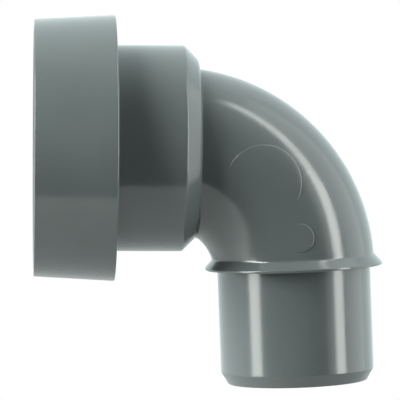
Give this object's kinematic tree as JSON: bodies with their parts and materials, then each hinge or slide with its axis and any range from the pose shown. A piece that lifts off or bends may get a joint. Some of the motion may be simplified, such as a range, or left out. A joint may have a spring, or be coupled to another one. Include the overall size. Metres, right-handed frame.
{
  "type": "waste pipe elbow",
  "caption": "Grey plastic waste pipe elbow with a stepped, collared socket, a tight bend of 87.5 degrees, a stop ring and a bevelled spigot.",
  "frame": {"origin": "on the spigot's axis, at the seat of the stop ring, where the mating socket's rim stops", "axes": "-Z along the spigot, towards its open end; the socket faces -X and rises 2.5 degrees above it; XZ is the plane of symmetry, and the marking pads are on the -Y side"},
  "size_m": [0.0913, 0.0692, 0.0975],
  "materials": {
    "grey_pvc": "semi-gloss moulded grey PVC"
  },
  "bodies": {
    "root": {"elbow": "grey_pvc"}
  },
  "joints": []
}
